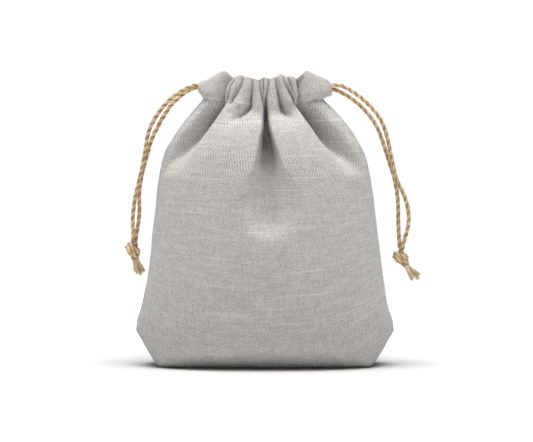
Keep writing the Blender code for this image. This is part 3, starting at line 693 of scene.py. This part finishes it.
backFolds = {
    "leftValley": [
        (173, -16, 3.4, 2.6, 1.8, 1.3, 0.2), (165, -17.2, 3.6, 3, 1.8, 1.3, 0.3),
        (158, -19, 5.2, 3.8, 2.4, 1.4, 0.5), (150, -23.6, 6.2, 5, 3.6, 1.9, 0.6),
        (141, -31, 4.2, 6, 6, 2.3, 0.2), (128, -37, 0, 7, 7, 2.3),
    ],
    "leftTuck": [
        (173, -11.2, 1.8, 1.2, 1.3, 1.3), (165, -11.8, 2, 1.2, 1.3, 1.3),
        (158, -13, 1.4, 1.5, 1.7, 1.4), (152, -15, 0, 2.4, 2.4, 1.4),
    ],
    "leftPleat": [
        (173, -6.8, 2.8, 1.3, 1.5, 1.3), (165, -7, 3.2, 1.3, 1.5, 1.3),
        (158, -7.8, 4, 1.8, 2.2, 1.3), (152, -9.6, 2.4, 2.8, 3.2, 1.6),
        (144, -12, 0, 3.6, 3.8, 1.8),
    ],
    "leftOfMiddle": [
        (173, -2.2, 2.4, 1.2, 1.4, 1.3), (165, -1.8, 3.2, 1.3, 1.5, 1.3),
        (158, -1.5, 4.6, 1.9, 2.1, 1.3), (148, -1.8, 5.8, 3.4, 3.4, 1.9),
        (134, -2.4, 3.8, 5.6, 6, 2.5), (112, -3, 0, 7, 8, 2.2),
    ],
    "rightOfMiddle": [
        (173, 2.8, 1.8, 1.1, 1.3, 1.3), (165, 3.4, 1.9, 1.1, 1.3, 1.3),
        (158, 4.2, 1.3, 1.4, 1.6, 1.3), (152, 5.2, 0, 2, 2.2, 1.3),
    ],
    "rightPleat": [
        (173, 7.4, 3, 1.4, 1.6, 1.3), (165, 8.2, 3.2, 1.4, 1.6, 1.3),
        (158, 9.4, 4, 2, 2, 1.3), (150, 12, 2.8, 3.4, 3.2, 1.7),
        (141, 15, 0, 4.6, 4.6, 1.9),
    ],
    "rightTuck": [
        (173, 12.2, 1.8, 1.3, 1.3, 1.3), (165, 13.2, 1.9, 1.3, 1.3, 1.3),
        (158, 14.6, 1.3, 1.6, 1.6, 1.3), (152, 17, 0, 2.4, 2.4, 1.3),
    ],
    "rightValley": [
        (173, 16.8, 3.4, 1.8, 2.6, 1.3, -0.2), (165, 18.4, 3.6, 1.8, 3, 1.3, -0.3),
        (158, 20.4, 5.4, 2.4, 3.8, 1.4, -0.5), (151, 25, 6.4, 3.8, 5, 1.9, -0.6),
        (142, 33, 4.4, 6.4, 5.8, 2.3, -0.2), (130, 39, 0, 7, 7, 2.3),
    ],
}
# Soft swellings and hollows: place in x, distance up the cloth, height, and size each way.
frontSwellings = [
    (-16.5, 135, 1.8, 12.0, 14.0), (15.5, 134, 1.8, 12.0, 14.0),
    (-14.0, 143, 1.7, 7.5, 8.0), (13.0, 142.5, 1.6, 7.2, 8.0), (-9.5, 153.0, -0.8, 8.0, 3.0),
    (11.0, 153.0, -0.8, 8.5, 3.0), (-4.6, 147, 0.9, 3.2, 6.0), (5.4, 147, 0.8, 3.2, 6.0),
    (1.5, 86.5, 1.0, 12.0, 6.5), (-30.0, 152.5, 0.8, 3.5, 4.0), (29.0, 154.0, 0.8, 3.5, 4.0),
    (-13.5, 158.5, 1.5, 4.2, 3.2),
]
backSwellings = [
    (-20.0, 132, 1.6, 12.0, 14.0), (14.0, 134, 1.8, 11.0, 14.0), (-6.0, 150, 0.8, 4.0, 5.0),
    (5.0, 149, 0.9, 4.0, 5.0),
]
sides = (
    {"facing": -1, "folds": frontFolds, "swellings": frontSwellings},
    {"facing": 1, "folds": backFolds, "swellings": backSwellings},
)
clothSettings = {
    "height": 173.0,
    "stitchUp": 158.0,
    "wall": 0.5,
    "columns": 176,
    "crowding": 0.34,  # how much closer the columns run at the middle
    "rows": ((14, 5), (36, 14), (100, 25), (140, 26), (173, 45)),  # how far up, and rows from there down
    "ringPoints": 801,
    "merge": 0.00003,
    "shift": 0.334,  # the solids' own shift towards the back, which centres them
    "rimLine": [  # x, and how far the top edge stands above its section there
        (-34, -0.2), (-30, -0.3), (-25, 1.7), (-20.2, 3.7), (-17.5, 1.9), (-15, 0.7), (-12.6, 1.2), (-8.5, 0.3),
        (-5.5, -0.4), (-3.2, -1.1), (-0.6, 0.0), (2.0, -0.4), (5.4, 0.4), (8.0, 1.8), (10.5, 0.4), (13.5, 0.9),
        (15.8, 0.3), (18.3, 1.9), (20.8, 3.7), (25, 2.0), (29, 0.7), (33, -0.5),
    ],
    "rimDip": 0.25,
    # The rows over the top edge: inset, lift, and place along the weave
    "rimRows": ((0.3, 0.28, 173.4), (0.65, 0.36, 173.8), (1.0, 0.25, 174.2), (1.3, -0.1, 174.6)),
    "hem": 1.3,  # how far the turned-in layer of the casing lies inside the outer one
    "hemRows": ((171.5, 1.0), (169, 1.0), (166, 1.0), (163, 1.0), (160.5, 1.0), (158.5, 0.7)),  # up, share of it
    "turnedAt": 174.0,  # where the weave's own length turns downwards
    "seamHeld": 10.0,
    "sewnWidth": 1.7,
    "sewnLine": [  # x, distance up, and how far the stitches draw the cloth in there
        (-32, 158.2, 0.8), (-24, 158.8, 0.8), (-17, 159.4, 0.8), (-12, 157.0, 0.5), (-5, 155.4, 0.35),
        (2, 155.4, 0.3), (8, 155.4, 0.4), (14, 156.8, 0.5), (20, 158.4, 0.9), (25, 160.0, 1.8), (32, 160.8, 1.7),
    ],
    "gathers": (2.1, 9, 7.0),  # size of the casing's small ripples in x, in y and up the cloth
    "gatherHeight": 0.34,
    "gatherUp": (150, 160),
    "gatherOut": (17, 22),  # out from the middle, where they fall to their least
    "gatherLeast": 0.4,
    "pinch": 0.12,  # how far the ears' upper edges are pressed together
    "pinchUp": (160, 174),
    "pinchOut": (16, 27),
    "slits": {"left": (167.7, 4.3, 2.5), "right": (166.6, 5.6, 2.6)},  # up, half height, half width
    "waves": ((14.0, 0.30), (5.5, 0.12), (2.3, 0.045)),  # size and height
    "waveShift": (3.1, 0.7),
    "waveUp": (4, 30),
}


def sectionAt(up):
    ups = [row[0] for row in sections]
    return {name: float(monotone(ups, [row[i] for row in sections], up)) for i, name in enumerate(sectionNames)}


def halfRing(facing, up):
    section = sectionAt(up)
    turn = np.linspace(-math.pi / 2, math.pi / 2, clothSettings["ringPoints"])
    reach = np.where(turn < 0, section["left"], section["right"])
    exponent = 2 / section["square"]
    x = reach * np.sign(np.sin(turn)) * np.abs(np.sin(turn)) ** exponent
    y = facing * section["depth"] * np.abs(np.cos(turn)) ** exponent
    rise = np.clip((np.abs(x) / reach - section["flat"]) / (1 - section["flat"]), 0, 1)
    z = section["midZ"] + (section["seamZ"] - section["midZ"]) * rise ** section["power"]
    ring = np.stack([x, y, z], axis=1)
    return ring, lengthsAlong(ring)


def foldAt(stations, up):
    stations = sorted(row if len(row) == len(foldNames) else (*row, 0.0) for row in stations)
    ups = [row[0] for row in stations]
    found = {name: float(monotone(ups, [row[i] for row in stations], up)) for i, name in enumerate(foldNames)}
    found["deep"] *= smoothstep(ups[0] - 1, ups[0] + 1, up)
    return found


def slitAt(name, up):  # how far the seam is open there, where the cords come out of the casing
    middle, halfHeight, halfWidth = clothSettings["slits"][name]
    return halfWidth * math.sqrt(max(0.0, 1 - ((up - middle) / halfHeight) ** 2))


def drawnIn(side, up, ring, along):  # how far the folds move each point of a row inwards and sideways
    s = clothSettings
    inward, sideways = np.zeros(len(along)), np.zeros(len(along))
    for stations in side["folds"].values():
        fold = foldAt(stations, up)
        if fold["deep"] <= 0:
            continue
        away = along - np.interp(fold["x"], ring[:, 0], along)
        reach = np.abs(away) / np.where(away < 0, fold["left"], fold["right"])
        shape = np.exp(-(reach ** fold["floor"]))
        inward += fold["deep"] * shape
        sideways += fold["under"] * shape
    for x, middle, high, wide, tall in side["swellings"]:
        away = along - np.interp(x, ring[:, 0], along)
        inward -= high * np.exp(-((away / wide) ** 2) - ((up - middle) / tall) ** 2)
    xs, ups, pulls = zip(*s["sewnLine"])
    past = (up - monotone(xs, ups, ring[:, 0])) / s["sewnWidth"]
    inward += monotone(xs, pulls, ring[:, 0]) * np.exp(-(past**2))
    held = smoothstep(0, s["seamHeld"], np.minimum(along, along[-1] - along))
    return inward * held, sideways * held


def addRipples(spots, ways, up):  # the cloth's own waves, and the finer ripples of its gathers
    s = clothSettings
    calm = float(smoothstep(*s["waveUp"], up))
    for size, height in s["waves"]:
        shift = Vector((size, *s["waveShift"]))
        waves = np.array([noise.noise(Vector(spot) / size + shift) for spot in spots])
        spots[:, :2] += ways * (waves * height * calm)[:, None]
    wide, deep, tall = s["gathers"]
    ripples = np.array([noise.noise(Vector((x / wide, y / deep, up / tall))) for x, y, _ in spots])
    middle = 1 - smoothstep(*s["gatherOut"], np.abs(spots[:, 0]))
    share = s["gatherLeast"] + (1 - s["gatherLeast"]) * middle
    gathered = s["gatherHeight"] * smoothstep(*s["gatherUp"], up) * share
    spots[:, :2] += ways * (ripples * gathered)[:, None]


def clothRow(side, up, inset=0.0, lift=0.0):  # one thread of the weft: its points, their outward ways and lengths
    s = clothSettings
    ring, along = halfRing(side["facing"], up)
    inward, sideways = drawnIn(side, up, ring, along)
    tangent = unit(np.gradient(ring[:, :2], axis=0))
    outward = np.stack([tangent[:, 1], -tangent[:, 0]], axis=1) * -side["facing"]
    outward[0], outward[-1] = (-1, 0), (1, 0)
    points = ring.copy()
    points[:, :2] += tangent * sideways[:, None] - outward * (inward + inset)[:, None]
    casing = smoothstep(s["stitchUp"], s["height"], up)
    rim = monotone(*zip(*s["rimLine"]), points[:, 0])
    points[:, 2] += casing * (rim - s["rimDip"] * inward) + lift
    pressed = s["pinch"] * smoothstep(*s["pinchUp"], up) * smoothstep(*s["pinchOut"], np.abs(points[:, 0]))
    points[:, 1] *= 1 - pressed
    length = lengthsAlong(points)
    first, last = slitAt("left", up), slitAt("right", up)
    share = np.linspace(-0.5, 0.5, s["columns"] + 1)
    share = 0.5 + share * (1 - s["crowding"]) + 4 * s["crowding"] * share**3
    at = first + (length[-1] - last - first) * share
    spots = alongLine(at, length, points)
    ways = unit(alongLine(at, length, outward))
    for end, opened in ((0, first), (-1, last)):
        if opened == 0:
            spots[end, 1] = 0  # front and back meet in the seam
    addRipples(spots, ways, up)
    return spots, ways, at - length[-1] / 2


def rowPlaces(s):  # each row's distance up the cloth, inset, lift and length along the weave
    rows, low = [], 0
    for high, count in s["rows"]:
        rows += [(up, 0.0, 0.0, up) for up in np.linspace(low, high, count, endpoint=False)]
        low = high
    rows.append((s["height"], 0.0, 0.0, s["height"]))
    rows += [(s["height"], inset, lift, weave) for inset, lift, weave in s["rimRows"]]
    rows += [(up, s["hem"] * share, 0.0, 2 * s["turnedAt"] - up) for up, share in s["hemRows"]]
    return rows


def makeCloth(s, material):
    work = bmesh.new()
    uvs = work.loops.layers.uv.new("UVMap")
    places = rowPlaces(s)
    for side in sides:
        rows = [clothRow(side, up, inset, lift) for up, inset, lift, _ in places]
        spots, faces = addGrid(work, s["columns"], len(places) - 1)
        for face in faces:
            for loop in face.loops:
                column, row = spots[loop.vert]
                loop[uvs].uv = (rows[row][2][column] * mm, -side["facing"] * places[row][3] * mm)
        for vertex, (column, row) in spots.items():
            x, y, z = rows[row][0][column]
            vertex.co = (x * mm, (y + s["shift"]) * mm, z * mm)
    bmesh.ops.remove_doubles(work, verts=work.verts, dist=s["merge"])
    bmesh.ops.recalc_face_normals(work, faces=work.faces)
    work.normal_update()
    if min(work.faces, key=lambda face: face.calc_center_median().z).normal.z > 0:
        bmesh.ops.reverse_faces(work, faces=work.faces)
    piece = placePiece(work, "pouchCloth", material)
    piece.data.shade_smooth()
    wall = piece.modifiers.new("wall", "SOLIDIFY")
    wall.thickness = s["wall"] * mm
    wall.offset = -1
    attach(piece, "root")
    return piece


# The cloth's look: a plain weave of uneven threads, read from the cloth's own UV in metres
clothLook = {
    "thread": 0.00067,  # from one thread to the next
    "shade": (0.255, 0.244, 0.226),
    "light": (0.80, 0.779, 0.74),
    "slub": (0.84, 0.83, 0.80),
    "waverScale": 0.09,  # in threads, as are the scales below
    "waver": (1.6, 1.3),  # how far whole threads wander, across and up
    "jitterScale": 0.42,
    "jitter": -0.8,  # up, for each thread across
    "crown": 0.7,
    "warpNoise": (0.731, 0.37, 0.16, 3.3),  # step from thread to thread, its start, scale along one, and place
    "weftNoise": (0.677, 0.41, 0.09, 9.6),
    "slubNoise": (0.014, 17.2),
    "toneRange": (0.26, 0.74),
    "slubRange": (0.62, 0.80, 0.0, 0.55),
    "fuzzNoise": (1500.0, 2.0, 0.65),  # scale, detail and roughness
    "patchNoise": (55.0, 3.0),
    # The crown share is painted shade: each crossing is lighter on top and darker in the gaps between the
    # threads. The tone, warpOver, fuzz and patches shares are the threads' own tones
    "level": {"crown": 0.14, "tone": 0.30, "warpOver": -0.46, "fuzz": 0.66, "base": 0.235, "patches": 0.05},
    "relief": {"crown": 0.55, "tone": 0.5, "fuzz": 0.9, "slubs": 0.6},
    "bump": 0.00017,
    "shader": {"Roughness": 0.92, "Specular IOR Level": 0.2, "Sheen Weight": 0.15, "Sheen Roughness": 0.6},
}


def clothMaterial(s):
    board = nodeBoard("plainWeave")
    u, v = (board.math("DIVIDE", part, s["thread"]) for part in board.surface())
    spread = board.vector(*(board.math("MULTIPLY", part, s["waverScale"]) for part in (u, v)))
    waver = board.noise(spread, 1.0)
    jitter = board.noise(board.vector(u, v, 5.0), s["jitterScale"], 1.0)
    waverAcross, waverUp = s["waver"]
    u = board.math("ADD", board.math("MULTIPLY_ADD", waver, waverAcross, u), jitter)
    v = board.math("MULTIPLY_ADD", jitter, s["jitter"], board.math("MULTIPLY_ADD", waver, waverUp, v))
    across, up = (board.math("SINE", board.math("MULTIPLY", part, math.pi)) for part in (u, v))
    cross = board.math("MULTIPLY", across, up)
    crown = board.math("POWER", board.math("ABSOLUTE", cross), s["crown"])
    warpOver = board.math("GREATER_THAN", cross, 0.0)
    step, start, scale, place = s["warpNoise"]
    warpThread = board.math("MULTIPLY_ADD", board.math("FLOOR", u), step, start)
    warpTone = board.noise(board.vector(warpThread, board.math("MULTIPLY", v, scale), place), 1.0, 1.0)
    step, start, scale, place = s["weftNoise"]
    weftThread = board.math("MULTIPLY_ADD", board.math("FLOOR", v), step, start)
    weftTone = board.noise(board.vector(board.math("MULTIPLY", u, scale), weftThread, place), 1.0, 1.0)
    scale, place = s["slubNoise"]
    longWeft = board.noise(board.vector(board.math("MULTIPLY", u, scale), weftThread, place), 1.0, 1.0)
    parts = {
        "crown": crown,
        "tone": board.spread(board.choose(warpOver, weftTone, warpTone), *s["toneRange"]),
        "warpOver": warpOver,
        "fuzz": board.noise(board.place(), *s["fuzzNoise"]),
        "patches": board.noise(board.place(), *s["patchNoise"]),
        "slubs": board.spread(longWeft, *s["slubRange"]),
        "base": 1.0,
    }
    # The weave's colour, with painted shade in the gaps between the threads from the crown share
    colour = board.mix(board.total(s["level"], parts), s["shade"], s["light"])
    colour = board.mix(parts["slubs"], colour, s["slub"])
    bump = board.bump(board.total(s["relief"], parts), s["bump"])
    return board.finish({"Base Color": colour, "Normal": bump, **s["shader"]})


pouchCloth = makeCloth(clothSettings, clothMaterial(clothLook))
print("cloth draped", len(pouchCloth.data.polygons), "faces")

# The stitching along the lower edge of the casing
stitchSettings = {
    "length": 1.9,
    "gap": 0.9,
    "radius": 0.16,
    "tip": 0.5,
    "around": 6,
    "points": 6,
    "stand": 0.05,
    "dip": 0.35,  # how far a stitch's ends go down into the cloth
    "seamGap": 0.8,
    "rows": (153.0, 163.0, 1.0),  # the rows of cloth that the sewn line is read from
    "dark": (0.50, 0.49, 0.47),
    "light": (0.74, 0.73, 0.71),
    "strandNoise": (9000.0, 2.0),
    "bump": 0.00005,
    "shader": {"Roughness": 0.8},
}


def threadMaterial(s):
    board = nodeBoard("sewingThread")
    strands = board.noise(board.add("ShaderNodeUVMap").outputs["UV"], *s["strandNoise"])
    colour = board.mix(strands, s["dark"], s["light"])
    return board.finish({"Base Color": colour, "Normal": board.bump(strands, s["bump"]), **s["shader"]})


def sewnRow(side, s):  # the cloth's points and outward ways along the sewn line
    ups = np.arange(*s["rows"])
    rows = [clothRow(side, up) for up in ups]
    across = rows[len(rows) // 2][0][:, 0]
    xs, sewn, _ = zip(*clothSettings["sewnLine"])
    wanted = (monotone(xs, sewn, across) - ups[0]) / (ups[1] - ups[0])
    low = wanted.astype(int)
    share = (wanted - low)[:, None]
    column = np.arange(len(across))
    for part in (0, 1):
        values = np.stack([row[part] for row in rows])
        yield values[low, column] * (1 - share) + values[low + 1, column] * share


def makeStitches(s, material):
    work, uvs = startTubes()
    steps = np.linspace(0, 1, s["points"])
    dips = s["stand"] - s["dip"] * np.abs(np.linspace(-1, 1, s["points"])) ** 3
    for side in sides:
        spots, ways = sewnRow(side, s)
        length = lengthsAlong(spots)
        start = s["seamGap"]
        while start + s["length"] < length[-1] - s["seamGap"]:
            at = start + s["length"] * steps
            path = alongLine(at, length, spots)
            path[:, :2] += unit(alongLine(at, length, ways)) * dips[:, None]
            path[:, 1] += clothSettings["shift"]
            addTube(work, uvs, path * mm, roundEnds(path, s["radius"], s["tip"]) * mm, s["around"])
            start += s["length"] + s["gap"]
    return finishPiece(work, "casingStitches", material)


casingStitches = makeStitches(stitchSettings, threadMaterial(stitchSettings))
print("casing stitched")

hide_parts("pouch_cloth")

# The studio: a pale table, darker round the pouch (painted shade) and glowing away from it (painted light), a
# broad soft light overhead and a little in front, and a white room, bright at the table's height and dim above
studio = {
    "tableSize": 0.45,
    "tableCells": 24,
    "tableDrop": 0.00002,  # keeps it just under the pouch's base
    # Painted shade: the table is darker near the pouch and white further out
    "tableNearPaintedShade": (0.80, 0.80, 0.80),
    "tableEdge": (1.0, 1.0, 1.0),
    "paintedShadeFade": (0.055, 0.24),  # how far out its colour changes: the painted shade round the pouch fades out
    "paintedTableGlow": 0.22,  # painted light: the table glows away from the pouch, so that it meets the white room without a line
    "paintedGlowFade": (0.045, 0.13),
    # The white emission colour is for the table's painted glow
    "tableShader": {"Emission Color": (1.0, 1.0, 1.0), "Roughness": 0.9, "Specular IOR Level": 0.1},
    "roomColour": (1.0, 1.0, 1.0, 1.0),
    "wallStrength": 1.03,
    "ceilingStrength": 0.04,
    "wallTop": (0.035, 0.10),
    "lightPlace": (-0.01, -0.10, 1.2),
    "lightAim": (0, 0, 0.08),
    "lightSize": (1.15, 0.55),
    "lightPower": 20.0,
}


def makeTable(s):
    work = bmesh.new()
    bmesh.ops.create_grid(work, x_segments=s["tableCells"], y_segments=s["tableCells"], size=s["tableSize"])
    bmesh.ops.translate(work, verts=work.verts, vec=(0, 0, -s["tableDrop"]))
    board = nodeBoard("paleTable")
    away = board.add("ShaderNodeVectorMath", operation="LENGTH")
    board.feed(away.inputs[0], board.place())
    # Painted shade: darker near the pouch
    colour = board.mix(board.spread(away.outputs["Value"], *s["paintedShadeFade"]), s["tableNearPaintedShade"], s["tableEdge"])
    # Painted light: the table glows, more so away from the pouch
    paintedGlowAmount = board.spread(away.outputs["Value"], *s["paintedGlowFade"], 0.0, s["paintedTableGlow"])
    board.finish({"Base Color": colour, "Emission Strength": paintedGlowAmount, **s["tableShader"]})
    table = placePiece(work, "paleTable", board.material)
    table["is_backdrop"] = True


def makeRoom(s):
    world = bpy.data.worlds.new("room")
    world.use_nodes = True
    tree = world.node_tree
    background = tree.nodes["Background"]
    background.inputs[0].default_value = s["roomColour"]
    split = tree.nodes.new("ShaderNodeSeparateXYZ")
    fade = tree.nodes.new("ShaderNodeMapRange")
    fade.interpolation_type = "SMOOTHSTEP"
    tree.links.new(tree.nodes.new("ShaderNodeTexCoord").outputs["Generated"], split.inputs[0])
    tree.links.new(split.outputs[2], fade.inputs["Value"])
    numbers = (*s["wallTop"], s["wallStrength"], s["ceilingStrength"])
    for name, number in zip(("From Min", "From Max", "To Min", "To Max"), numbers):
        fade.inputs[name].default_value = number
    tree.links.new(fade.outputs[0], background.inputs[1])
    bpy.context.scene.world = world


def makeLight(s):
    lamp = bpy.data.lights.new("softbox", "AREA")
    lamp.shape = "RECTANGLE"
    lamp.size, lamp.size_y = s["lightSize"]
    lamp.energy = s["lightPower"]
    softbox = bpy.data.objects.new("softbox", lamp)
    softbox.location = s["lightPlace"]
    toPouch = Vector(s["lightAim"]) - Vector(s["lightPlace"])
    softbox.rotation_euler = toPouch.to_track_quat("-Z", "Y").to_euler()
    bpy.context.scene.collection.objects.link(softbox)


makeTable(studio)
makeRoom(studio)
makeLight(studio)
bpy.context.scene.view_settings.view_transform = "Standard"
print("studio set")

boxes = {"cad": cadBox, "visual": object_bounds()}
{name: [[float(v) for v in corner] for corner in box] for name, box in boxes.items()}
